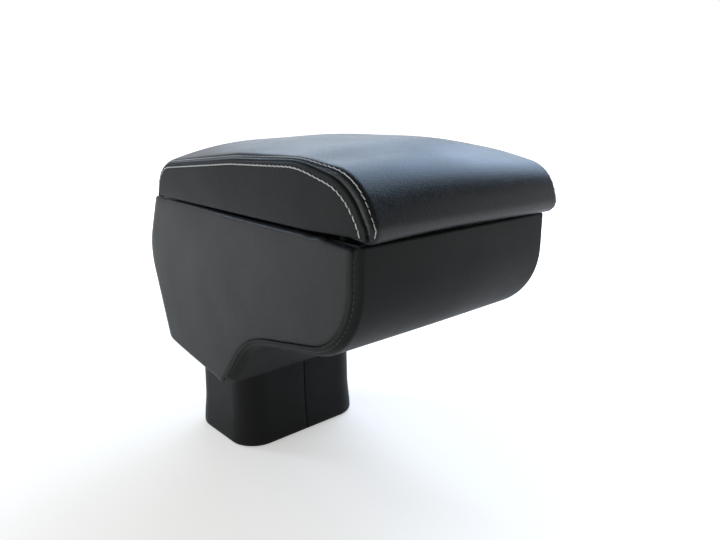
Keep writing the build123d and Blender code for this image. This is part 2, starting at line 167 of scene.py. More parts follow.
def soften_line(line: Array, sigma: int) -> Array:
    """Running bell-weighted mean along a line, with both ends held by turning the line over there.

    Args:
        line: Values in rows, evenly spaced.
        sigma: Width of the bell in samples.

    Returns:
        The softened line, of the same length.
    """
    reach = 3 * sigma
    weights = np.exp(-0.5 * (np.arange(-reach, reach + 1) / sigma) ** 2)
    weights /= weights.sum()
    head = 2 * line[0] - line[reach:0:-1]
    tail = 2 * line[-1] - line[-2 : -reach - 2 : -1]
    padded = np.concatenate([head, line, tail])
    return np.stack([np.convolve(column, weights, mode="valid") for column in padded.T], axis=1)


@dataclass
class Profile:
    """Side-view line of straight runs joined by arcs, read by its length.

    Attributes:
        corners: (y, z, rounding) of each corner, in order. The outside is on the right of the way
            along the line, seen with y to the right and z up.
        soft: Width of the bell that eases the line's curvature.
        step: Spacing of the points that the line is worked out at.
        arc_points: Points on each arc before they are spaced evenly.
        least: Least rounding of a corner.
        full: Greatest share of a run that its two arcs take up.
        points: Evenly spaced points of the line, worked out from the corners.
        normals: Outward normals at the points.
        lengths: Length of the line up to each point.
    """

    corners: tuple[Triple, ...]
    soft: float = 2.0
    step: float = 0.25
    arc_points: int = 48
    least: float = 0.01
    full: float = 0.98
    points: Array = field(init=False)
    normals: Array = field(init=False)
    lengths: Array = field(init=False)

    def __post_init__(self) -> None:
        """Work out the evenly spaced points, their outward normals and the length up to each."""
        raw = self.evenly(self.trace())
        line = self.evenly(soften_line(raw, max(1, round(self.soft / self.step))))
        run = unit(np.gradient(line, axis=0))
        whole = np.linalg.norm(np.diff(line, axis=0), axis=1).sum()
        self.points = line
        self.normals = np.stack([run[:, 1], -run[:, 0]], axis=1)
        self.lengths = np.arange(len(line)) * whole / (len(line) - 1)

    def evenly(self, line: Array) -> Array:
        """The line at even spacing.

        Args:
            line: Points in rows.

        Returns:
            Points about one step apart along the same line.
        """
        along = lengths_along(line)
        number = max(8, int(along[-1] / self.step))
        return sample(np.linspace(0.0, along[-1], number), along, line)

    def trace(self) -> Array:
        """The line as corner points and arcs.

        Each arc turns about a centre one rounding inside its corner. Where two arcs would not both
        fit on the run between them, both roundings shrink to fit.

        Returns:
            Points in rows, from the first corner to the last.
        """
        spots = np.array([corner[:2] for corner in self.corners], float)
        runs = np.diff(spots, axis=0)
        spans = np.linalg.norm(runs, axis=1)
        ways = runs / spans[:, None]
        before, after = ways[:-1], ways[1:]
        cross = before[:, 0] * after[:, 1] - before[:, 1] * after[:, 0]
        turns = np.arctan2(cross, (before * after).sum(axis=1))
        slopes = np.tan(np.abs(turns) / 2)
        cuts = np.array([max(corner[2], self.least) for corner in self.corners[1:-1]]) * slopes
        padded = np.concatenate([[0.0], cuts, [0.0]])
        fits = np.minimum(1.0, self.full * spans / np.maximum(padded[:-1] + padded[1:], 1e-9))
        cuts = cuts * np.minimum(fits[:-1], fits[1:])
        pieces = [spots[:1]]
        for spot, way, turn, cut, slope in zip(spots[1:-1], before, turns, cuts, slopes):
            begin = spot - way * cut
            arm = -math.copysign(cut / slope, turn) * np.array([-way[1], way[0]])
            angles = np.linspace(0.0, turn, self.arc_points)
            cos, sin = np.cos(angles), np.sin(angles)
            arc = np.stack([arm[0] * cos - arm[1] * sin, arm[0] * sin + arm[1] * cos], axis=1)
            pieces.append(begin - arm + arc)
        pieces.append(spots[-1:])
        return np.concatenate(pieces)

    def length(self) -> float:
        """Whole length of the line."""
        return float(self.lengths[-1])

    def spaced(self, step: float) -> Array:
        """Lengths along the line, about one step apart."""
        return np.linspace(0.0, self.length(), int(self.length() / step))

    def at(self, places: Array) -> tuple[Array, Array]:
        """Points and outward normals at given lengths, in rows of (y, z)."""
        return sample(places, self.lengths, self.points), sample(places, self.lengths, self.normals)

    def station(self, index: int) -> float:
        """Length at which the line passes closest to one of its corners."""
        gap = np.linalg.norm(self.points - np.array(self.corners[index][:2]), axis=1)
        return float(self.lengths[int(np.argmin(gap))])


@dataclass
class Nodes:
    """A shader node tree that is filled with one call for each node.

    Attributes:
        tree: The node tree.
    """

    tree: bpy.types.NodeTree

    @classmethod
    def group(
        cls, name: str, given: dict[str, float | None], result: str
    ) -> tuple["Nodes", bpy.types.bpy_prop_collection, bpy.types.Node]:
        """Begin a group with its sockets.

        Args:
            name: Name of the group.
            given: Default of each input; None makes a vector socket.
            result: Name of the one output.

        Returns:
            The group's nodes, the sockets that it is given and the node that takes its result.
        """
        tree = bpy.data.node_groups.new(name, "ShaderNodeTree")
        for label, default in given.items():
            kind = "NodeSocketVector" if default is None else "NodeSocketFloat"
            socket = tree.interface.new_socket(name=label, in_out="INPUT", socket_type=kind)
            if default is not None:
                socket.default_value = default
        tree.interface.new_socket(name=result, in_out="OUTPUT", socket_type="NodeSocketFloat")
        source = tree.nodes.new("NodeGroupInput")
        return cls(tree), source.outputs, tree.nodes.new("NodeGroupOutput")

    def fill(self, node: bpy.types.Node, inputs: Inputs) -> None:
        """Set or link the inputs of a node.

        Args:
            node: The node.
            inputs: Value of each input, by name or number, or the socket that is linked to it.
        """
        for label, given in inputs.items():
            if isinstance(given, Socket):
                self.tree.links.new(given, node.inputs[label])
            else:
                node.inputs[label].default_value = given

    def add(self, kind: str, inputs: Inputs, **options: object) -> bpy.types.bpy_prop_collection:
        """Add a node.

        Args:
            kind: Type of the node.
            inputs: Value of each input, or the socket that is linked to it.
            **options: Options of the node, such as its operation.

        Returns:
            The node's outputs.
        """
        node = self.tree.nodes.new(kind)
        for label, option in options.items():
            setattr(node, label, option)
        self.fill(node, inputs)
        return node.outputs

    def coords(self, kind: Coords = Coords.OBJECT) -> Socket:
        """Coordinates of one kind."""
        return self.add("ShaderNodeTexCoord", {})[kind.value]

    def ramp(self, value: Socket, span: Pair, ends: tuple, style: Fade = Fade.SMOOTH) -> Socket:
        """Value mapped from a span to two ends, and held there beyond the span.

        Args:
            value: The value.
            span: Where it begins and ends to change.
            ends: Results there, as numbers or sockets.
            style: How it changes in between.

        Returns:
            The result.
        """
        labels = ("Value", "From Min", "From Max", "To Min", "To Max")
        given = dict(zip(labels, (value, *span, *ends)))
        return self.add("ShaderNodeMapRange", given, interpolation_type=style.value)["Result"]

    def calculate(self, operation: Operation, *inputs: Socket | float) -> Socket:
        """Result of an operation on sockets and numbers."""
        return self.add("ShaderNodeMath", dict(enumerate(inputs)), operation=operation.value)["Value"]

    def mottle(self, coords: Socket, scale: float, ends: Pair) -> Socket:
        """Slow cloudy change over a surface, between a low and a high value."""
        given = {"Vector": coords, "Scale": scale, "Low": ends[0], "High": ends[1]}
        return self.add("ShaderNodeGroup", given, node_tree=Groups.mottle())["Value"]

    def grain(self, coords: Socket, scale: float) -> Socket:
        """Height of the leather grain."""
        given = {"Vector": coords, "Scale": scale}
        return self.add("ShaderNodeGroup", given, node_tree=Groups.grain())["Height"]

    def drawn(self, coords: Socket, scale: Triple, detail: float) -> Socket:
        """Noise that is drawn out by a scale of its own along each axis."""
        place = self.add("ShaderNodeMapping", {"Vector": coords, "Scale": scale})["Vector"]
        return self.add("ShaderNodeTexNoise", {"Vector": place, "Scale": 1.0, "Detail": detail})["Fac"]

    def bump(self, height: Socket, depth: float, strength: float) -> Socket:
        """Normal that a height gives, with its depth in millimetres."""
        given = {"Height": height, "Distance": depth * MM, "Strength": strength}
        return self.add("ShaderNodeBump", given)["Normal"]


class Groups:
    """Shader node groups that several finishes share, each made once."""

    @staticmethod
    @cache
    def grain() -> bpy.types.NodeTree:
        """Leather grain: soft pebbles between creases, with a finer grain on top.

        Returns:
            The group, which puts out a height.
        """
        nodes, given, result = Nodes.group("HideGrain", {"Vector": None, "Scale": 620.0}, "Height")
        place = given["Vector"]
        wander = nodes.add("ShaderNodeTexNoise", {"Vector": place, "Scale": 420.0, "Detail": 1.0})
        moved = {0: wander["Color"], 1: (0.0014, 0.0014, 0.0014), 2: place}
        shift = nodes.add("ShaderNodeVectorMath", moved, operation="MULTIPLY_ADD")
        cells = {"Vector": shift["Vector"], "Scale": given["Scale"]}
        pebble = nodes.add("ShaderNodeTexVoronoi", cells, feature="DISTANCE_TO_EDGE")
        crease = nodes.ramp(pebble["Distance"], (0.0, 0.32), (0.0, 1.0))
        fine = nodes.add("ShaderNodeTexNoise", {"Vector": place, "Scale": 2600.0, "Detail": 2.0})
        nodes.fill(result, {"Height": nodes.calculate(Operation.PRODUCT_AND_SUM, fine["Fac"], 0.35, crease)})
        return nodes.tree

    @staticmethod
    @cache
    def mottle() -> bpy.types.NodeTree:
        """Slow cloudy change over a surface, between a low and a high value.

        Returns:
            The group, which puts out one value.
        """
        sockets = {"Vector": None, "Scale": 22.0, "Low": 0.4, "High": 0.5}
        nodes, given, result = Nodes.group("Mottle", sockets, "Value")
        clouds = {"Vector": given["Vector"], "Scale": given["Scale"], "Detail": 4.0}
        cloud = nodes.add("ShaderNodeTexNoise", clouds)["Fac"]
        value = nodes.ramp(cloud, (0.3, 0.7), (given["Low"], given["High"]), Fade.EVEN)
        nodes.fill(result, {"Value": value})
        return nodes.tree


@dataclass(frozen=True)
class Finish:
    """Shared part of every finish: a Principled shader with cloudy roughness and tone.

    Attributes:
        name: Name of the material.
        colour: Base colour, linear.
        rough: Least and greatest roughness.
        tone: How far the colour darkens in its cloudy patches.
        cloud: Scale of the roughness's clouds.
        shade: Scale of the tone's clouds over that of the roughness.
    """

    name: str
    colour: Triple
    rough: Pair
    tone: float = 0.85
    cloud: float = 30.0
    shade: float = 0.6

    @cache
    def build(self) -> bpy.types.Material:
        """Make the material the first time that it is asked for.

        Returns:
            The material, with the finish's own relief.
        """
        material = bpy.data.materials.new(self.name)
        material.use_nodes = True
        nodes = Nodes(material.node_tree)
        coords = nodes.coords()
        rough = nodes.mottle(coords, self.cloud, self.rough)
        shade = nodes.mottle(coords, self.cloud * self.shade, (0.0, 1.0))
        dark = (*(c * self.tone for c in self.colour), 1.0)
        tones = {"Factor": shade, "A": dark, "B": (*self.colour, 1.0)}
        blend = nodes.add("ShaderNodeMix", tones, data_type="RGBA")["Result"]
        looks = {"Roughness": rough, "Base Color": blend, **self.relief(nodes, coords)}
        nodes.fill(nodes.tree.nodes["Principled BSDF"], looks)
        return material

    def relief(self, nodes: Nodes, coords: Socket) -> Inputs:
        """What sets the finish apart; a plain one has nothing.

        Args:
            nodes: Nodes of the material; not used by a plain finish.
            coords: Object coordinates; not used by a plain finish.

        Returns:
            Further inputs of the shader.
        """
        return {}


@dataclass(frozen=True)
class Leatherette(Finish):
    """Grained leatherette with a satin sheen, tinted bluish as a painted reflection.

    Attributes:
        grain: Scale of the pebbles, per metre.
        depth: Depth of the creases in millimetres.
        gloss: Specular level.
        sheen: Weight of the soft sheen, whose bluish tint is a painted reflection.
        coat: Weight of the smooth top coat.
    """

    grain: float = 640.0
    depth: float = 0.13
    gloss: float = 0.26
    sheen: float = 0.1
    coat: float = 0.0

    def relief(self, nodes: Nodes, coords: Socket) -> Inputs:
        """Pebbled grain as a bump, with a sheen that is tinted bluish as a painted reflection, and a coat.
        """
        return {
            "Specular IOR Level": self.gloss,
            "Sheen Weight": self.sheen,
            "Sheen Roughness": 0.45,
            # The bluish sheen tint is a painted reflection of bluish light.
            "Sheen Tint": (0.66, 0.8, 1.0, 1.0),
            "Coat Weight": self.coat,
            "Coat Roughness": 0.26,
            "Normal": nodes.bump(nodes.grain(coords, self.grain), self.depth, 0.55),
        }


@dataclass(frozen=True)
class Thread(Finish):
    """Sewing thread with a fine twist."""

    def relief(self, nodes: Nodes, coords: Socket) -> Inputs:
        """Twisted strands as fine bands.

        Args:
            nodes: Nodes of the material.
            coords: Object coordinates.

        Returns:
            Further inputs of the shader.
        """
        bands = {"Vector": coords, "Scale": 900.0, "Distortion": 1.5}
        twist = nodes.add("ShaderNodeTexWave", bands, bands_direction="DIAGONAL")
        return {"Normal": nodes.bump(twist["Fac"], 0.12, 0.5)}


@dataclass(frozen=True)
class Moulding(Finish):
    """Moulded plastic or rubber with a spark-eroded texture.

    Attributes:
        grain: Scale of the pebbles, per metre.
        depth: Depth of the texture in millimetres.
        gloss: Specular level.
    """

    grain: float = 1500.0
    depth: float = 0.05
    gloss: float = 0.14

    def relief(self, nodes: Nodes, coords: Socket) -> Inputs:
        """Fine pebbles as a bump."""
        normal = nodes.bump(nodes.grain(coords, self.grain), self.depth, 0.4)
        return {"Specular IOR Level": self.gloss, "Normal": normal}


@dataclass(frozen=True)
class Felt(Finish):
    """Needle felt: tangled fibres with a soft sheen."""

    def relief(self, nodes: Nodes, coords: Socket) -> Inputs:
        """Tangled fibres as a distorted noise.

        Args:
            nodes: Nodes of the material.
            coords: Object coordinates.

        Returns:
            Further inputs of the shader.
        """
        tangle = {"Vector": coords, "Scale": 700.0, "Detail": 5.0, "Distortion": 2.5}
        normal = nodes.bump(nodes.add("ShaderNodeTexNoise", tangle)["Fac"], 0.35, 0.7)
        return {"Specular IOR Level": 0.15, "Sheen Weight": 0.25, "Normal": normal}


@dataclass(frozen=True)
class Steel(Finish):
    """Zinc-plated steel with fine rolling lines along the hinge."""

    def relief(self, nodes: Nodes, coords: Socket) -> Inputs:
        """Rolling lines as a noise drawn out along x."""
        lines = nodes.drawn(coords, (60.0, 2400.0, 2400.0), 3.0)
        return {"Metallic": 1.0, "Normal": nodes.bump(lines, 0.03, 0.4)}


@dataclass(frozen=True)
class Plywood(Finish):
    """Raw board with its grain along the armrest."""

    def relief(self, nodes: Nodes, coords: Socket) -> Inputs:
        """Long grain lines as a noise drawn out along y."""
        return {"Normal": nodes.bump(nodes.drawn(coords, (420.0, 14.0, 420.0), 4.0), 0.15, 0.4)}


# One black leatherette, split into lit and shaded copies. The top copy has the plain colour and the
# strongest painted bluish sheen. The trim copy on the lid panels, box front and post is painted a little
# darker, as shade. The side copy on the box's sides and back is painted about three times lighter, as light.
HIDE_TOP_PAINTED_SHEEN = Leatherette("leatherette_top_painted_sheen", (0.0095, 0.0105, 0.011), (0.29, 0.35))
HIDE_TRIM_PAINTED_SHADE = Leatherette(
    "leatherette_trim_painted_shade", (0.0092, 0.0098, 0.0096), (0.46, 0.54), gloss=0.08, sheen=0.02, coat=0.06
)
HIDE_SIDE_PAINTED_LIGHT = Leatherette(
    "leatherette_side_painted_light", (0.0275, 0.0285, 0.028), (0.52, 0.6), gloss=0.11, sheen=0.03, coat=0.12
)
WHITE_THREAD = Thread("white_thread", (0.80, 0.80, 0.78), (0.55, 0.7))
BLACK_THREAD = Thread("black_thread", (0.018, 0.018, 0.019), (0.45, 0.6))
PLASTIC = Moulding("moulded_plastic", (0.009, 0.009, 0.0095), (0.5, 0.62))
RUBBER = Moulding("bumper_rubber", (0.007, 0.007, 0.0072), (0.7, 0.8), gloss=0.06)
# Dark grey needle felt. Its colour is lightened a little as painted light, so the shaded inside of the box
# still reads.
FELT = Felt("needle_felt", (0.034, 0.034, 0.036), (0.85, 0.95))
STEEL = Steel("zinc_plated_steel", (0.56, 0.57, 0.58), (0.28, 0.42))
BOARD = Plywood("raw_board", (0.42, 0.30, 0.19), (0.6, 0.75))


@dataclass
class Surface:
    """Vertices and faces gathered from grids, put into one mesh at the end.

    Attributes:
        name: Name of the piece.
        vertices: Arrays of points in millimetres.
        faces: Arrays of vertex numbers, four to a face.
        count: Vertices gathered so far.
    """

    name: str
    vertices: list[Array] = field(default_factory=list)
    faces: list[Array] = field(default_factory=list)
    count: int = 0

    def grid(self, points: Array, flip: bool = False, closed: bool = False) -> None:
        """Add a grid of points, joined to quads between neighbouring rows and columns.

        Args:
            points: Array of rows by columns by 3.
            flip: Turn the faces over.
            closed: Join the last column to the first.
        """
        rows, columns = points.shape[:2]
        numbers = np.arange(rows * columns).reshape(rows, columns) + self.count
        beside = np.roll(numbers, -1, axis=1) if closed else numbers[:, 1:]
        own = numbers if closed else numbers[:, :-1]
        quads = np.stack([own[:-1], beside[:-1], beside[1:], own[1:]], axis=-1).reshape(-1, 4)
        self.vertices.append(points.reshape(-1, 3))
        self.faces.append(quads[:, ::-1] if flip else quads)
        self.count += rows * columns

    def copies(self, points: Array) -> None:
        """Add many short tubes at once, each closed at both ends.

        Args:
            points: Array of copies by rings by six points round a ring by 3.
        """
        number, rings, around = points.shape[:3]
        ids = np.arange(number * rings * around).reshape(number, rings, around) + self.count
        beside = np.roll(ids, -1, axis=2)
        quads = np.stack([ids[:, :-1], beside[:, :-1], beside[:, 1:], ids[:, 1:]], axis=-1)
        first = [ids[:, 0, corners] for corners in ((3, 2, 1, 0), (5, 4, 3, 0))]
        last = [ids[:, -1, corners] for corners in ((0, 1, 2, 3), (0, 3, 4, 5))]
        self.vertices.append(points.reshape(-1, 3))
        self.faces.append(np.concatenate([quads.reshape(-1, 4), *first, *last]))
        self.count += number * rings * around

    def build(self, finish: Finish, body: Body, *stands_for: str) -> bpy.types.Object:
        """Make the mesh object, with smooth shading, and let it ride on its body.

        Args:
            finish: Finish of the piece.
            body: Body that the piece moves with.
            *stands_for: Solids that the piece is shown in place of.

        Returns:
            The new object.
        """
        mesh = bpy.data.meshes.new(self.name)
        places = np.concatenate(self.vertices) * MM
        mesh.from_pydata(places.tolist(), [], np.concatenate(self.faces).tolist())
        mesh.validate()
        mesh.polygons.foreach_set("use_smooth", np.ones(len(mesh.polygons), bool))
        mesh.materials.append(finish.build())
        mesh.update()
        piece = bpy.data.objects.new(self.name, mesh)
        bpy.context.scene.collection.objects.link(piece)
        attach(piece, body.value)
        if stands_for:
            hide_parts(*stands_for)
        LOG.info("%s: %d faces on %s", self.name, len(mesh.polygons), body.value)
        return piece

    @staticmethod
    def thicken(piece: bpy.types.Object, thickness: float = 0.9) -> bpy.types.Object:
        """Turn a sheet into closed leatherette by adding its inner side.

        Args:
            piece: The sheet, whose faces look outwards.
            thickness: Thickness in millimetres, added inwards.

        Returns:
            The same piece.
        """
        inner = piece.modifiers.new("thickness", "SOLIDIFY")
        inner.thickness = thickness * MM
        inner.offset = -1.0
        return piece


@dataclass
class StitchRow:
    """A row of sewn stitches, each a short strand that dips into the leather at both ends.

    Attributes:
        pitch: Distance from one stitch to the next.
        reach: Length of a stitch over its pitch.
        radius: Radius of the thread.
        lean: Angle by which each stitch turns out of the row, in degrees.
        proud: How far the thread's middle stands out of the surface.
        around: Points round the thread.
    """

    pitch: float = 4.7
    reach: float = 1.0
    radius: float = 0.38
    lean: float = 0.0
    proud: float = 0.25
    around: int = 6

    def strands(self, points: Array, normals: Array) -> Array:
        """Strands along a line on a surface.

        Each strand runs along the line's own direction, leaning in the surface. With a from -1 to 1
        along it, its thickness is R(1 - a^6)^(1/2) and its middle sinks by the square of a.

        Args:
            points: Line of points in rows, closely spaced.
            normals: Outward normals of the surface at those points.

        Returns:
            Array of strands by rings by points round a ring by 3.
        """
        along = lengths_along(points)
        number = int(along[-1] / self.pitch)
        places = (np.arange(number) + 0.5) * along[-1] / number
        middle = sample(places, along, points)[:, None]
        up = unit(sample(places, along, normals))
        run = sample(places + 0.5, along, points) - sample(places - 0.5, along, points)
        run = unit(run - up * (run * up).sum(axis=1, keepdims=True))
        across = np.cross(up, run)
        cos, sin = math.cos(math.radians(self.lean)), math.sin(math.radians(self.lean))
        ahead = run * cos + across * sin
        beside = across * cos - run * sin
        a = np.array([-1.0, -0.9, -0.5, 0.0, 0.5, 0.9, 1.0])[:, None]
        angle = np.linspace(0.0, 2 * math.pi, self.around, endpoint=False)[:, None]
        thick = self.radius * np.sqrt(np.maximum(1.0 - a**6, 0.1))
        sink = self.proud - 0.9 * self.radius * a**2
        stretch = a * self.pitch * self.reach / 2
        centre = middle + ahead[:, None] * stretch + up[:, None] * sink
        ring = beside[:, None, None] * np.cos(angle) + up[:, None, None] * np.sin(angle)
        return centre[:, :, None] + ring * thick[:, None]


@dataclass
class Lid:
    """Padded lid: a strip over its back, top and front, two side panels and white stitching.

    Corners are given as y, z and rounding. What changes along the strip is given at hem, back end,
    nape, middle, peak, brow, front end and hem.

    Attributes:
        bottom: Height of the lower edge at the sides.
        front: Front end of the side seam along y.
        back: Back end of the side seam along y.
        seam: Half the distance between the two side seams.
        nape: Corner of the seam at the back.
        middle: Slight bend of the seam along the top.
        peak: Highest corner of the left seam.
        brow: Corner of the left seam at the front.
        right_peak: Highest corner of the right seam, where the pad is fuller in front.
        right_brow: Corner of the right seam at the front.
        hem: Inner edges of the cover turned in underneath, at the back and at the front.
        fold: Width of the side panels' cover turned in underneath.
        hem_round: Rounding of the strip's lower edges.
        arch: How much higher the strip's lower edge is in the middle than at the sides.
        even: Place along y ahead of which the lower edge comes up to the arch at the sides too.
        hem_height: Height above the lower edge over which its lift dies out.
        board: Height of the board above the lower edge, which the fold goes up to.
        roll: Width of the strip's rounding at the seam.
        rise: Height of that rounding along the strip.
        crown: Further height in the middle of the strip, along it.
        square: Power by which the crown falls off towards the seams.
        panel: How far a side panel stands out from its seam.
        panel_round: Rounding of a side panel at its seam and at its lower edge.
        belly: Further height in the middle of a side panel.
        belly_round: Distances from the seam and from the lower edge over which the belly rises.
        wave: Height of the long waves over the pad.
        waves: Lengths of two sets of these waves, each along and across the strip.
        stitch_angle: Place of the stitches on the strip's rounding along it, in radians.
        stitch_gap: Distance of the panel's stitches from the seam, along the strip.
        groove: Depth of the groove along the stitches, on the strip and on the panels.
        groove_half: Half its width, in radians on the strip's rounding and in millimetres on the panels.
        tuck: How far the edge goes in behind the seam, on the strip and on the panels.
        soft: Width over which values change along the strip.
        step: Spacing of the surface's rows.
        columns: Points on the strip's rounding, on half of its middle and down a side panel.
    """

    bottom: float = 223.8
    front: float = -236.2
    back: float = 32.0
    seam: float = 93.0
    nape: Triple = (28.8, 250.8, 25.0)
    middle: Triple = (-90.0, 262.6, 300.0)
    peak: Triple = (-169.0, 266.9, 100.0)
    brow: Triple = (-218.5, 257.0, 43.0)
    right_peak: Triple = (-168.0, 267.0, 160.0)
    right_brow: Triple = (-228.0, 250.0, 24.0)
    hem: Pair = (14.0, -214.5)
    fold: float = 17.0
    hem_round: float = 4.5
    arch: float = 2.0
    even: float = -165.0
    hem_height: float = 18.0
    board: float = 1.8
    roll: float = 6.0
    rise: Values = (0.0, 0.5, 1.9, 3.2, 2.1, 6.4, 5.2, 0.0)
    crown: Values = (0.0, 0.5, 14.6, 11.7, 8.8, 1.8, -2.4, 0.0)
    square: float = 2.0
    panel: float = 1.6
    panel_round: Pair = (2.6, 2.4)
    belly: float = 0.9
    belly_round: Pair = (26.0, 22.0)
    wave: float = 0.2
    waves: tuple[Pair, Pair] = ((31.0, 27.0), (17.0, 23.0))
    stitch_angle: Values = (0.8, 0.8, 0.76, 0.74, 0.8, 0.95, 1.0, 1.0)
    stitch_gap: Values = (3.2, 3.2, 3.2, 3.3, 4.1, 6.1, 7.0, 7.0)
    groove: Pair = (0.5, 0.45)
    groove_half: Pair = (0.17, 1.1)
    tuck: Pair = (3.0, 2.5)
    soft: float = 9.0
    step: float = 0.95
    columns: tuple[int, int, int] = (19, 36, 56)

    def strip_profile(self, side: Side) -> Profile:
        """Seam of one side from back to front, with the hem that turns in at both ends.

        Args:
            side: Side of the lid.

        Returns:
            The line, with a corner at each place where values along the strip are given.
        """
        peak, brow = (self.peak, self.brow) if side is Side.LEFT else (self.right_peak, self.right_brow)
        begin = (self.back, self.bottom, self.hem_round)
        end = (self.front, self.bottom, self.hem_round)
        hems = [(y, self.bottom, 0.0) for y in self.hem]
        return Profile((hems[0], begin, self.nape, self.middle, peak, brow, end, hems[1]))

    def spread(self, values: Values, profile: Profile, places: Array) -> Array:
        """Values given at the corners of the strip, eased along its whole length.

        Args:
            values: Value at each corner.
            profile: The strip's profile.
            places: Evenly spaced lengths along it.

        Returns:
            The value at each place, as a column.
        """
        at = [profile.station(i) for i in range(len(profile.corners))]
        line = np.interp(places, at, values)[:, None]
        return soften_line(line, max(1, round(self.soft / (places[1] - places[0]))))

    @staticmethod
    def pucker(along: Array) -> Array:
        """Share of a groove's depth along its stitches: 0.62 + 0.38 times a cosine at their pitch."""
        return 0.62 + 0.38 * np.cos(2 * math.pi * along / StitchRow().pitch)[:, None]

    def strip_across(self) -> tuple[Array, Array]:
        """Places across the strip, from the left seam to the right.

        Returns:
            x of each place, and the angle on the rounding at the seam, which is a right angle on the
            broad middle.
        """
        angle = np.linspace(0.0, QUARTER, self.columns[0])
        edge = self.seam - self.roll * (1.0 - np.cos(angle))
        middle = np.linspace(self.seam - self.roll, 0.0, self.columns[1])[1:]
        half = np.concatenate([edge, middle])
        turn = np.concatenate([angle, np.full(len(middle), QUARTER)])
        return np.concatenate([-half, half[-2::-1]]), np.concatenate([turn, turn[-2::-1]])

    def strip_points(self) -> Array:
        """Surface of the strip.

        The two seams are blended across the strip by the smooth step of x. Each place is the blended
        line moved out along its normal by rise(s) times the quarter circle at the seam and crown(s)
        times 1 - |x / seam|^square. A shallow groove follows the stitches, puckered at their pitch,
        and long low waves lie over the whole pad. The lower edges arch up. The first and the last
        line are tucked in behind the side panels.

        Returns:
            The grid of points.
        """
        profile, other = self.strip_profile(Side.LEFT), self.strip_profile(Side.RIGHT)
        places = profile.spaced(self.step)
        x, turn = self.strip_across()
        blend = ease(x, -self.seam, self.seam)[:, None]
        ends = zip(profile.at(places), other.at(places * other.length() / profile.length()))
        point, normal = (near[:, None] * (1.0 - blend) + far[:, None] * blend for near, far in ends)
        given = (self.rise, self.crown, self.stitch_angle)
        rise, crown, sewn = (self.spread(values, profile, places) for values in given)
        high = rise * np.sin(turn) + crown * (1.0 - np.abs(x / self.seam) ** self.square)
        taut = ease(rise, 0.5, 4.0)
        high = high - self.groove[0] * taut * self.pucker(places) * bell(turn, sewn, self.groove_half[0])
        s = places[:, None]
        (long, wide), (short, narrow) = self.waves
        wave = np.sin(s / long) * np.cos(x / wide) + 0.7 * np.sin(s / short + x / narrow)
        high = high + self.wave * taut * wave * ease(turn, 0.8, 1.5)
        lift = self.hem_lift(x, point[..., 0], point[..., 1])
        y = point[..., 0] + normal[..., 0] * high
        z = point[..., 1] + normal[..., 1] * high + lift
        grid = np.stack([np.broadcast_to(x, y.shape), y, z], axis=-1)
        tuck = -self.tuck[0] * np.concatenate([np.zeros_like(normal[..., :1]), normal], axis=-1)
        return np.concatenate([grid[:, :1] + tuck[:, :1], grid, grid[:, -1:] + tuck[:, -1:]], axis=1)

    def hem_lift(self, x: Array | float, y: Array, z: Array) -> Array:
        """Lift of the lid's lower edge: the arch times 1 - |x / seam|^6, and evenly at the front.

        Args:
            x: Places across the lid.
            y: Places along the lid.
            z: Heights, which take the whole lift at the bottom and less above it.

        Returns:
            The lift at each place.
        """
        front = ease(-y, -self.even, -self.front - 6.0)
        share = 1.0 - np.abs(x / self.seam) ** 6 * (1.0 - front)
        return self.arch * share * (1.0 - ease(z, self.bottom, self.bottom + self.hem_height))

    def panel_lines(self, side: Side) -> tuple[Array, Array, Array, Array]:
        """Upright lines of a side panel, from the seam down to its lower edge.

        Args:
            side: Side of the lid.

        Returns:
            Points of the seam, their normals, the stitches' distance from the seam at each of them,
            and the share of the way down of each row.
        """
        whole = self.strip_profile(side)
        along = np.linspace(0.0, whole.length(), len(whole.points))
        gap = self.spread(self.stitch_gap, whole, along)
        above = whole.lengths[whole.points[:, 1] > self.bottom + 0.4]
        places = np.linspace(above[0], above[-1], int((above[-1] - above[0]) / self.step))
        down = 0.5 - 0.5 * np.cos(np.linspace(0.0, math.pi, self.columns[2]))
        return *whole.at(places), sample(places, along, gap), down

    def panel_points(self, side: Side) -> Array:
        """Surface of one side panel.

        Each point stands out by the panel's depth times the quarter circles at the seam and at the
        lower edge, with a puckered groove along the stitches and a low belly over the whole panel.
        The cover then turns in underneath and up to the board.

        Args:
            side: Side of the lid.

        Returns:
            The grid of points.
        """
        point, normal, sewn, down = self.panel_lines(side)
        height = point[:, 1:] - self.bottom
        gap = height * down * np.abs(normal[:, 1:])
        lower = height * (1.0 - down)
        pucker = self.pucker(np.arange(len(point)) * self.step)
        groove = self.groove[1] * pucker * bell(gap, sewn, self.groove_half[1])
        belly = self.belly * curl(gap, self.belly_round[0]) * curl(lower, self.belly_round[1])
        at_seam, at_edge = self.panel_round
        out = (self.panel * curl(gap, at_seam) - groove) * curl(lower, at_edge) + belly
        x = side.value * (self.seam + out)
        y = np.broadcast_to(point[:, :1], x.shape)
        lift = self.hem_lift(self.seam, y, self.bottom + lower)
        grid = np.stack([x, y, self.bottom + lower + lift], axis=-1)
        tuck = grid[:, :1] - np.array([side.value * self.tuck[1], 0.0, 0.0])
        share = np.linspace(0.08, 1.0, 9)
        up = np.maximum(self.board - lift[:, -1:], 0.0) * ease(share, 0.08, 0.3)
        in_x = np.broadcast_to(-side.value * self.fold * share, up.shape)
        inward = np.stack([in_x, np.zeros_like(up), up], axis=-1)
        return np.concatenate([tuck, grid, grid[:, -1:] + inward], axis=1)

    def sewable(self, line: Array) -> Array:
        """Mask of the points that lie high enough above the lower edge to be sewn."""
        return line[:, 2] > self.bottom + self.arch + 0.5

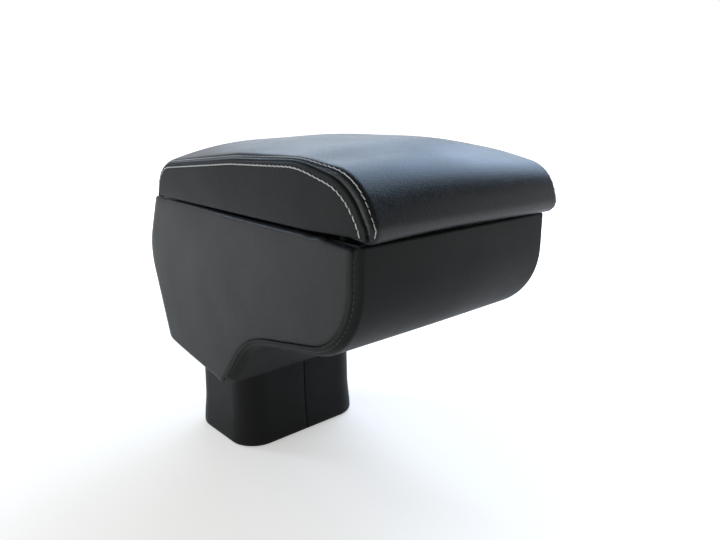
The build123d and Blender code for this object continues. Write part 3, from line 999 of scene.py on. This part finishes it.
    def lower_line(self, side: Side) -> tuple[Array, Array]:
        """Line of the stitches on a side panel, and the panel's outward direction along it.

        Args:
            side: Side of the lid.

        Returns:
            Points and directions in rows, where the panel is tall enough to be sewn.
        """
        point, normal, sewn, down = self.panel_lines(side)
        reach = (point[:, 1:] - self.bottom) * np.abs(normal[:, 1:])
        share = np.clip(sewn / np.maximum(reach, 1e-6), 0.0, 1.0)[:, 0]
        column = np.arccos(1.0 - 2.0 * share) / math.pi * (len(down) - 1) + 1.0
        line = between(self.panel_points(side), column)
        line = line[(share < 0.97) & self.sewable(line)]
        return line, np.tile([float(side.value), 0.0, 0.0], (len(line), 1))

    def upper_line(self, grid: Array, side: Side) -> tuple[Array, Array]:
        """Line of the stitches on the strip's rounding, and the strip's outward direction along it.

        Args:
            grid: Points of the strip.
            side: Side of the lid.

        Returns:
            Points and directions in rows, above the lower edge.
        """
        profile = self.strip_profile(Side.LEFT)
        places = np.linspace(0.0, profile.length(), len(grid))
        turn = self.strip_across()[1]
        column = self.spread(self.stitch_angle, profile, places)[:, 0] / (turn[1] - turn[0]) + 1.0
        line, normals = seam_row(grid, column, side)
        keep = self.sewable(line)
        return line[keep], normals[keep]

    def build(self) -> None:
        """Make the strip, the side panels and the stitching."""
        grid = self.strip_points()
        strip = Surface("lid_padded_strip")
        strip.grid(grid, flip=True)
        piece = strip.build(HIDE_TOP_PAINTED_SHEEN, Body.LID, "lid_top_cover", "lid_foam")
        Surface.thicken(piece)
        sew = Surface("lid_white_stitches")
        upper = StitchRow(radius=0.44, proud=0.36)
        for side, node in ((Side.LEFT, "lid_left_panel"), (Side.RIGHT, "lid_right_panel")):
            panel = Surface(f"lid_padded_{side.name.lower()}_panel")
            panel.grid(self.panel_points(side), flip=side is Side.RIGHT)
            piece = panel.build(HIDE_TRIM_PAINTED_SHADE, Body.LID, node)
            Surface.thicken(piece)
            sew.copies(upper.strands(*self.upper_line(grid, side)))
            lower = StitchRow(radius=0.42, proud=0.3, lean=9.0 * side.value)
            sew.copies(lower.strands(*self.lower_line(side)))
        sew.build(WHITE_THREAD, Body.LID)


@dataclass
class Box:
    """Storage box: a strip over its front, underside and throat, and one cover round sides and back.

    Corners are given as y, z and rounding.

    Attributes:
        half: Half the width.
        reach: Front face ahead of the middle of the post.
        rim: Height of the rim.
        edge: Depth of the rounding between sides and strip, along the front and the underside.
        broad: Width of that rounding, along the front and the underside.
        deepen: Where its depth changes, as lengths past the nose.
        widen: Where its width changes, as lengths past the nose.
        rim_round: Rounding of the rim.
        rim_width: How far the cover goes in over the rim.
        corner: Rounding of the upright corners at the back.
        foot: Rounding of the lower edge.
        slope: Slope of the bottom over the post, in degrees.
        nose: Corner between front and underside.
        knee: Corner between underside and throat.
        heel: Corner between throat and bottom.
        strip_end: Place along y, under the box, where the strip ends.
        tail: Lower edge of the back: y, z.
        bulge: Widest corner of the back.
        back_rim: Place of the back at the rim along y.
        welt: How far the strip's folded edge stands out along the seam.
        pull: How far the rim is drawn down at the front corners.
        dip: Depth of the shallow dip in the rim behind each drawn corner.
        lift: How much higher the rim of the sides is towards the back.
        hem_angle: Place of the black stitches on the strip's rounding, in radians.
        hem_groove: Depth of the groove along these stitches.
        slack: Height of the waves on the strip.
        seam_curl: Depth and width by which the side cover curls in along the seam.
        swell: Height of the swell over the middle of each side.
        wave: Height of the waves on each side.
        leave: Span of y over which the side cover leaves the seam and turns under.
        step: Spacing of the surface's rows.
        columns: Points on the strip's rounding and on its flat.
        side_grid: Points along a side, round a back corner, along the back and down the cover.
    """

    half: float = 95.0
    reach: float = 227.4
    rim: float = 221.2
    edge: Pair = (9.0, 8.0)
    broad: Pair = (5.0, 9.0)
    deepen: Pair = (-40.0, 30.0)
    widen: Pair = (-20.0, 70.0)
    rim_round: float = 2.0
    rim_width: float = 6.0
    corner: float = 24.0
    foot: float = 4.0
    slope: float = 8.0
    nose: Triple = (-227.4, 148.4, 56.0)
    knee: Triple = (-104.5, 124.9, 58.0)
    heel: Triple = (-68.5, 80.0, 10.0)
    strip_end: float = -40.0
    tail: Pair = (47.0, 96.2)
    bulge: Triple = (75.3, 174.0, 48.0)
    back_rim: float = 55.1
    welt: float = 0.6
    pull: float = 2.4
    dip: float = 0.5
    lift: float = 1.3
    hem_angle: float = 0.5
    hem_groove: float = 0.2
    slack: float = 0.3
    seam_curl: Pair = (1.5, 3.0)
    swell: float = 0.9
    wave: float = 0.12
    leave: Pair = (-60.0, -48.0)
    step: float = 1.2
    columns: tuple[int, int] = (24, 60)
    side_grid: tuple[int, int, int, int] = (170, 22, 40, 70)

    def strip_profile(self) -> Profile:
        """Line of the strip from the rim down the front, along the underside and down the throat.

        Returns:
            The line, whose corners are rim, nose, knee, heel and the end under the box.
        """
        top = (-self.reach, self.rim - self.rim_round, 0.0)
        end = (self.strip_end, self.bottom_at(self.strip_end), 0.0)
        return Profile((top, self.nose, self.knee, self.heel, end))

    def bottom_at(self, y: Array | float) -> Array | float:
        """Height of the sloping bottom over the post at a place along y."""
        return self.heel[1] + (y - self.heel[0]) * math.tan(math.radians(self.slope))

    def back_at(self, z: Array) -> Array:
        """Place of the bulged back along y at given heights."""
        line = Profile(((*self.tail, 0.0), self.bulge, (self.back_rim, self.rim, 0.0)))
        return np.interp(z, line.points[:, 1], line.points[:, 0])

    @staticmethod
    def past_nose(ends: Pair, span: Pair, profile: Profile, places: Array) -> Array:
        """Value that changes from the front to the underside, over a span of lengths past the nose."""
        start, end = (profile.station(1) + length for length in span)
        return ends[0] + (ends[1] - ends[0]) * ease(places, start, end)

    def seam_line(self) -> Array:
        """Side seam: the strip's line moved in by the depth of the rounding, and straight on at the heel.

        Returns:
            Points in rows of (y, z), from the rim to the lower edge at the heel.
        """
        line = self.strip_profile()
        depth = self.past_nose(self.edge, self.deepen, line, line.lengths)
        seam = line.points - line.normals * depth[:, None]
        seam = seam[line.lengths < line.station(3) - 6.0]
        ahead = np.array(self.heel[:2]) - np.array(self.knee[:2])
        straight = ahead / np.linalg.norm(ahead) * np.linspace(0.25, 26.0, 104)[:, None]
        return np.concatenate([seam, seam[-1] + straight])

    def strip_across(self) -> tuple[Array, Array]:
        """Places across the strip, from the left seam to the right.

        Returns:
            The angle on the rounding at the seam, a right angle on the flat middle, and the place on
            the flat from -1 to 1.
        """
        angle = np.linspace(0.0, QUARTER, self.columns[0])
        flat = np.linspace(-1.0, 1.0, self.columns[1])[1:-1]
        turn = np.concatenate([angle, np.full(len(flat), QUARTER), angle[::-1]])
        return turn, np.concatenate([np.full(len(angle), -1.0), flat, np.full(len(angle), 1.0)])

    def strip_points(self) -> Array:
        """Surface of the strip.

        Across, a quarter ellipse leads from each seam to the flat: as deep as the edge's rounding,
        and growing broader from the front to the underside. Along, the surface follows the profile,
        and at the top it rolls in over the rim, which is drawn down at the corners. Beside the seam
        the folded edge stands out by the welt, and a shallow groove follows its stitches.

        Returns:
            The grid of points.
        """
        profile = self.strip_profile()
        places = profile.spaced(self.step)
        point, normal = profile.at(places)
        turn, flat = self.strip_across()
        heel = profile.station(3)
        s = places[:, None]
        broad = self.past_nose(self.broad, self.widen, profile, s)
        depth = self.past_nose(self.edge, self.deepen, profile, s)
        arc = turn * self.edge[1]
        lip = self.welt * curl(arc, 0.9) * (1.0 - ease(arc, 2.2, 4.6))
        lip = lip - self.hem_groove * bell(turn, self.hem_angle, 0.08)
        way = np.sign(flat) * np.cos(turn)
        x = flat * (self.half - broad) + way * (broad + lip)
        x = x * (1.0 - 0.02 * ease(s, heel - 8.0, heel + 6.0))
        slack = self.slack * np.sin(s / 37.0) * np.cos(x / 41.0) * ease(turn, 1.0, 1.57)
        high = lip * np.sin(turn) + slack - depth * (1.0 - np.sin(turn))
        drawn = self.pull * (1.0 - ease(turn, 0.3, 1.3)) * (1.0 - ease(s, 0.0, 25.0))
        y = point[:, :1] + normal[:, :1] * high
        z = point[:, 1:] + normal[:, 1:] * high - drawn
        body = np.stack([x, y, z], axis=-1)
        plan = np.stack([way, -np.sin(turn), np.zeros_like(turn)], axis=-1)
        return np.concatenate([self.rim_roll(body[0], plan), body])

    def rim_roll(self, edge: Array, plan: Array) -> Array:
        """Rows that roll in over the rim, from the inside to the outside.

        Args:
            edge: Line of points one rounding below the rim.
            plan: Outward direction of the wall at each of them.

        Returns:
            Rows of points: a flat run and a quarter circle.
        """
        up = np.array([0.0, 0.0, self.rim_round])
        angle = np.linspace(QUARTER, 0.0, 9)[:-1, None, None]
        roll = edge - plan * (self.rim_round * (1.0 - np.cos(angle))) + up * np.sin(angle)
        return np.concatenate([(edge - plan * self.rim_width + up)[None], roll])

    def side_columns(self) -> tuple[Array, Array, Array, Array]:
        """Upright lines of the side cover, from the left seam round the back to the right seam.

        Returns:
            x and y of each line at the widest height of the back, how far it follows the lean of the
            back from 0 to 1, and its outward direction as an angle from -x towards +y.
        """
        along, round_corner, across, _ = self.side_grid
        begin = -self.reach + self.edge[0]
        rear = self.bulge[0] - self.corner
        inner = self.half - self.corner
        angle = np.linspace(0.0, QUARTER, round_corner)[1:-1]
        back = np.linspace(-1.0, 1.0, across) * inner
        whole = np.ones(across)
        y = begin + (rear - begin) * crowd(np.linspace(0.0, 1.0, along))
        y = np.concatenate([y, rear + self.corner * np.sin(angle)])
        x = np.concatenate([np.full(along, -self.half), -inner - self.corner * np.cos(angle)])
        way = np.concatenate([np.zeros(along), angle])
        follow = ease(y, -70.0, rear)
        x_all = np.concatenate([x, back, -x[::-1]])
        y_all = np.concatenate([y, self.bulge[0] * whole, y[::-1]])
        follow_all = np.concatenate([follow, whole, follow[::-1]])
        return x_all, y_all, follow_all, np.concatenate([way, QUARTER * whole, math.pi - way[::-1]])

    def side_points(self) -> Array:
        """Surface of the side cover.

        Each upright line runs from the rim's rounding down to the seam, or to the lower edge behind
        it, and follows the lean of the back more and more towards the rear. Along the seam the cover
        curls in, along the lower edge it turns under, and a low swell lies over
        the middle of each side. The rim is drawn down by two smooth steps at the front corners, with
        a shallow bell-shaped dip behind each of them, and rises a little towards the back.

        Returns:
            The grid of points, row by row from the rim down.
        """
        x, y, follow, way = self.side_columns()
        sides = np.cos(way) ** 2
        seam = self.seam_line()
        behind = seam[seam[:, 0] > seam[0, 0] + 0.02]
        low_back = self.back_at(np.array([self.tail[1] + 4.0]))[0] - self.bulge[0]
        y_low = y + follow * low_back
        throat = np.interp(y_low, behind[:, 0], behind[:, 1], right=-1e3)
        low = np.maximum(throat, self.bottom_at(y_low))
        drawn = 0.5 * ease(-y, 189.0, 198.0) + 0.5 * ease(-y, 192.0, 217.0)
        pulled = self.pull * drawn + self.dip * bell(y, -181.0, 5.0)
        top = self.rim - self.rim_round - pulled + self.lift * ease(y, -120.0, 0.0) * sides
        z = top + (low - top) * crowd(np.linspace(0.0, 1.0, self.side_grid[3]))[:, None]
        y_grid = y + follow * (self.back_at(z) - self.bulge[0])
        flat = np.stack([y_grid, z], axis=-1).reshape(-1, 2)
        near = np.sqrt(((flat[:, None] - seam[None, ::4]) ** 2).sum(axis=2).min(axis=1)).reshape(z.shape)
        lower = ease(y_low, *self.leave)
        inward = self.seam_curl[0] * (1.0 - curl(near, self.seam_curl[1])) * sides * (1.0 - lower)
        inward = inward + self.foot * (1.0 - curl(z - low, self.foot)) * lower
        swell = self.swell * curl(near, 40.0) * curl(top - z, 30.0) * sides
        swell = swell * (1.0 - ease(y_low, 0.0, 50.0))
        wave = self.wave * np.sin(y_grid / 33.0 + 1.0) * np.sin(z / 29.0) * curl(near, 25.0) * sides
        shift = inward - swell - wave
        away = np.stack([-np.cos(way), np.sin(way), np.zeros_like(way)], axis=-1)
        body = np.stack([np.broadcast_to(x, z.shape), y_grid, z], axis=-1) - away * shift[..., None]
        return np.concatenate([self.rim_roll(body[0], away), body, self.side_under(body[-1], lower)])

    def side_under(self, edge: Array, lower: Array) -> Array:
        """Rows of the side cover under the box: the lower edge drawn in towards the post.

        Args:
            edge: Points of the lower edge.
            lower: 1 where the cover turns under the box, 0 where it ends at the seam.

        Returns:
            Rows of points, on the sloping bottom behind the throat.
        """
        under = np.linspace(0.08, 0.45, 6)[:, None]
        at_seam = np.linspace(0.003, 0.03, 6)[:, None]
        share = under * lower + at_seam * (1.0 - lower)
        x = edge[:, 0] * (1.0 - share)
        y = edge[:, 1] * (1.0 - share * lower)
        z = lower * self.bottom_at(y) + (1.0 - lower) * edge[:, 2]
        return np.stack([x, y, z], axis=-1)

    def hem_line(self, grid: Array, side: Side) -> tuple[Array, Array]:
        """Line of the black stitches beside the seam, and the strip's outward direction along it.

        Args:
            grid: Points of the strip.
            side: Side of the box.

        Returns:
            Points and directions in rows, from below the rim to the heel.
        """
        column = int(np.argmin(np.abs(self.strip_across()[0] - self.hem_angle)))
        line, normals = seam_row(grid, np.full(len(grid), column), side)
        keep = (np.arange(len(line)) > 10) & (line[:, 2] > self.heel[1] + 14.0)
        return line[keep], normals[keep]

    def build(self) -> None:
        """Make both covers and the black stitching."""
        grid = self.strip_points()
        strip = Surface("box_front_strip")
        strip.grid(grid, flip=True)
        piece = strip.build(HIDE_TRIM_PAINTED_SHADE, Body.BOX, "box_front_cover")
        Surface.thicken(piece)
        cover = Surface("box_wrapped_side")
        cover.grid(self.side_points())
        piece = cover.build(HIDE_SIDE_PAINTED_LIGHT, Body.BOX, "box_side_cover")
        Surface.thicken(piece)
        sew = Surface("box_black_stitches")
        row = StitchRow(pitch=4.2, reach=0.74, radius=0.3, proud=0.12)
        for side in Side:
            sew.copies(row.strands(*self.hem_line(grid, side)))
        sew.build(BLACK_THREAD, Body.BOX)


@dataclass
class Post:
    """Leatherette sleeve round the post, with its seam in the middle of the front.

    Attributes:
        width: Width at the lower edge.
        depth: Depth at the lower edge.
        corner: Rounding of the upright corners.
        draft: Lean of each side towards the top, in degrees.
        flare: How far the sleeve spreads towards its lower edge.
        foot: Rounding of the lower edge.
        under: How far in the two rows of the underside lie.
        seam_depth: Depth of the groove at the seam.
        pucker: Depth of the wider dip round the seam.
    """

    width: float = 130.0
    depth: float = 90.0
    corner: float = 24.0
    draft: float = 0.8
    flare: float = 2.0
    foot: float = 3.4
    under: Pair = (6.0, 2.0)
    seam_depth: float = 1.3
    pucker: float = 0.35

    def outline(self) -> tuple[Array, Array]:
        """Rounded rectangle in plan, from the seam round to the seam.

        Returns:
            Points in rows of (x, y), and their outward directions.
        """
        half_x, half_y = self.width / 2 - self.corner, self.depth / 2 - self.corner
        angle = np.linspace(0.0, QUARTER, 20)
        quarter = np.stack([np.sin(angle), -np.cos(angle)], axis=1)
        corner = np.array([half_x, -half_y]) + self.corner * quarter
        near = np.concatenate([np.linspace(0.0, 4.0, 14), np.linspace(4.0, half_x, 14)[1:]])
        far = np.linspace(half_x, 0.0, 16)[1:]
        up = np.linspace(-half_y, half_y, 12)[1:-1]
        front = np.stack([near, np.full(len(near), -self.depth / 2)], axis=1)
        right = np.stack([np.full(len(up), self.width / 2), up], axis=1)
        rear = np.stack([far, np.full(len(far), self.depth / 2)], axis=1)
        front_way, right_way, rear_way = (
            np.tile(way, (len(run), 1))
            for way, run in (((0.0, -1.0), front), ((1.0, 0.0), right), ((0.0, 1.0), rear))
        )
        back = np.array([1.0, -1.0])
        half = np.concatenate([front, corner[1:], right, corner[::-1] * back, rear])
        ways = np.concatenate([front_way, quarter[1:], right_way, quarter[::-1] * back, rear_way])
        left = np.array([-1.0, 1.0])
        return tuple(np.concatenate([rows, rows[-2:0:-1] * left]) for rows in (half, ways))

    def points(self, box: Box) -> Array:
        """Surface of the sleeve.

        The plan outline is drawn in by the draft towards the top, rounds under at the lower edge and
        has a narrow bell-shaped groove at the seam. Its top follows the sloping bottom of the box.

        Args:
            box: The box that the post carries.

        Returns:
            Grid of points, row by row from the underside up.
        """
        plan, way = self.outline()
        top = box.bottom_at(plan[:, 1]) + 1.5
        t = np.concatenate([[0.0, 0.0], np.linspace(0.0, 1.0, 40) ** 1.3])
        z = t[:, None] * top
        inward = z * math.tan(math.radians(self.draft)) - self.flare * (1.0 - ease(z, 2.0, 34.0))
        inward = inward + self.foot * (1.0 - curl(z, self.foot))
        inward[:2] += np.array(self.under)[:, None]
        front = plan[:, 1] < 0
        groove = self.seam_depth * bell(plan[:, 0], 0.0, 0.7) * front * ease(z, 0.0, 3.0)
        pucker = self.pucker * bell(plan[:, 0], 0.0, 5.0) * front
        shift = inward + groove + pucker * ease(z, 0.0, 4.0)
        x = plan[:, 0] - way[:, 0] * shift
        y = plan[:, 1] - way[:, 1] * shift
        return np.stack([x, y, z], axis=-1)

    def build(self, box: Box) -> None:
        """Make the sleeve.

        Args:
            box: The box that the post carries.
        """
        sleeve = Surface("post_sleeve")
        sleeve.grid(self.points(box), closed=True)
        piece = sleeve.build(HIDE_TRIM_PAINTED_SHADE, Body.BOX, "post_cover")
        Surface.thicken(piece)


@dataclass
class Hardware:
    """Solids that are shown as they are.

    Attributes:
        plastic: Mouldings.
        felt: Linings.
        rubber: Bumpers.
        board: Base of the lid.
        steel: Hinge and screws.
    """

    plastic: tuple[str, ...] = ("post_column", "post_foot", "box_shell", "rim_frame")
    felt: tuple[str, ...] = ("box_lining", "lid_lining")
    rubber: tuple[str, ...] = ("rim_bumpers",)
    board: tuple[str, ...] = ("lid_board",)
    steel: tuple[str, ...] = (
        "post_foot_screws",
        "post_top_screws",
        "hinge_box_leaf",
        "hinge_pin",
        "hinge_box_screws",
        "hinge_lid_leaf",
        "hinge_lid_screws",
    )

    def dress(self) -> None:
        """Give each solid its finish."""
        solids = (self.plastic, self.felt, self.rubber, self.board, self.steel)
        for names, finish in zip(solids, (PLASTIC, FELT, RUBBER, BOARD, STEEL)):
            for name in names:
                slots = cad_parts[name].data.materials
                slots.clear()
                slots.append(finish.build())
                LOG.info("%s: dressed in %s", name, finish.name)


@dataclass(frozen=True)
class Lamp:
    """Square soft lamp that faces the middle of the armrest.

    Attributes:
        name: Name of the lamp.
        place: Place in metres.
        size: Side of the square in metres.
        power: Power in watts.
        tint: Colour of the light.
        target: Point that it faces, in metres.
    """

    name: str
    place: Triple
    size: float
    power: float
    tint: Triple
    target: Triple = (0.0, -0.08, 0.18)

    def build(self) -> None:
        """Make the lamp and turn it towards its target."""
        data = bpy.data.lights.new(self.name, "AREA")
        data.size = self.size
        data.energy = self.power
        data.color = self.tint
        lamp = bpy.data.objects.new(self.name, data)
        lamp.location = self.place
        x, y, z = (np.array(self.place) - np.array(self.target)).tolist()
        lamp.rotation_euler = (math.atan2(float(np.hypot(x, y)), z), 0.0, math.atan2(y, x) + QUARTER)
        bpy.context.scene.collection.objects.link(lamp)


@dataclass
class Studio:
    """Pale floor, white surroundings, soft lamps and the camera.

    Attributes:
        eye: Place of the camera in millimetres.
        heading: Direction of view in plan, from +y towards +x, in degrees.
        pitch: Downward tilt in degrees.
        lens: Focal length for a 36 mm frame.
        level: Strength of the even light from all round.
        overhead: Strength of the surroundings straight above, as mirrors show it.
        glow: Brightness that the floor adds to itself, at the armrest and far from it.
        floor_half: Half the side of the floor, in metres.
        floor_drop: How far the floor lies under the armrest, in metres.
        lamps: The lamps.
    """

    eye: Triple = (-334.19, -497.13, 302.53)
    heading: float = 41.685
    pitch: float = 14.631
    lens: float = 32.41
    level: float = 0.36
    overhead: float = 0.12
    glow: Pair = (0.44, 1.0)
    floor_half: float = 6.0
    floor_drop: float = 0.0002
    lamps: tuple[Lamp, ...] = (
        Lamp("window_right", (1.25, 0.14, 1.28), 1.3, 23.0, (0.55, 0.74, 1.0)),
        Lamp("window_behind", (0.9, 1.1, 1.12), 0.9, 7.0, (0.66, 0.82, 1.0)),
        Lamp("window_left", (-0.8, 1.25, 0.9), 0.35, 7.5, (0.62, 0.8, 1.0)),
        Lamp("left_wall", (-1.4, 0.25, 0.15), 1.0, 8.5, (1.0, 0.99, 0.97)),
    )

    def camera(self) -> None:
        """Make the camera at the photograph's viewing angle."""
        data = bpy.data.cameras.new("camera")
        data.lens = self.lens
        data.sensor_width = 36.0
        data.clip_start = 0.01
        camera = bpy.data.objects.new("camera", data)
        camera.location = [v * MM for v in self.eye]
        camera.rotation_euler = (math.radians(90.0 - self.pitch), 0.0, math.radians(-self.heading))
        bpy.context.scene.collection.objects.link(camera)
        bpy.context.scene.camera = camera

    @staticmethod
    def seen(nodes: Nodes) -> Socket:
        """Mask of the rays that show the background: from the camera, a mirror or glass.

        Args:
            nodes: Nodes of the material or the surroundings.

        Returns:
            The socket that gives the mask.
        """
        path = nodes.add("ShaderNodeLightPath", {})
        first = nodes.calculate(Operation.GREATER, path["Is Camera Ray"], path["Is Glossy Ray"])
        return nodes.calculate(Operation.GREATER, first, path["Is Transmission Ray"])

    def world(self) -> None:
        """Surroundings: white at the horizon and dim overhead for camera and mirrors, else even light."""
        world = bpy.data.worlds.new("surroundings")
        world.use_nodes = True
        nodes = Nodes(world.node_tree)
        nodes.tree.nodes.clear()
        split = nodes.add("ShaderNodeSeparateXYZ", {"Vector": nodes.coords(Coords.GENERATED)})
        fade = nodes.ramp(split["Z"], (0.16, 0.45), (1.0, self.overhead))
        white = nodes.add("ShaderNodeBackground", {"Color": WHITE, "Strength": fade})
        even = {"Color": (0.95, 0.98, 1.0, 1.0), "Strength": self.level}
        soft = nodes.add("ShaderNodeBackground", even)
        lights = {"Fac": self.seen(nodes), 1: soft["Background"], 2: white["Background"]}
        mix = nodes.add("ShaderNodeMixShader", lights)
        nodes.add("ShaderNodeOutputWorld", {"Surface": mix["Shader"]})
        bpy.context.scene.world = world

    def floor(self) -> None:
        """Plain pale floor that keeps the armrest's shadow and is white to the camera elsewhere."""
        mesh = bpy.data.meshes.new("floor")
        half = self.floor_half
        corners = [(-half, -half), (half, -half), (half, half), (-half, half)]
        mesh.from_pydata([(*corner, -self.floor_drop) for corner in corners], [], [(0, 1, 2, 3)])
        material = bpy.data.materials.new("pale_floor")
        material.use_nodes = True
        nodes = Nodes(material.node_tree)
        away = nodes.add("ShaderNodeVectorMath", {0: nodes.coords()}, operation="LENGTH")
        far = nodes.ramp(away["Value"], (0.2, 0.95), self.glow)
        looks = {
            "Base Color": (0.87, 0.8, 0.73, 1.0),
            "Roughness": 0.9,
            "Specular IOR Level": 0.0,
            "Emission Color": WHITE,
            "Emission Strength": nodes.calculate(Operation.PRODUCT, far, self.seen(nodes)),
        }
        nodes.fill(nodes.tree.nodes["Principled BSDF"], looks)
        mesh.materials.append(material)
        floor = bpy.data.objects.new("floor", mesh)
        bpy.context.scene.collection.objects.link(floor)

    def build(self) -> None:
        """Set up the camera, the surroundings, the floor and the lamps."""
        bpy.context.scene.view_settings.view_transform = "Standard"
        self.camera()
        self.world()
        self.floor()
        for lamp in self.lamps:
            lamp.build()


def main() -> None:
    """Build the armrest's sub-assemblies in order and light them."""
    logging.basicConfig(level=logging.INFO, format="%(message)s")
    box = Box()
    Lid().build()
    box.build()
    Post().build(box)
    Hardware().dress()
    Studio().build()


if __name__ == "__main__":
    main()
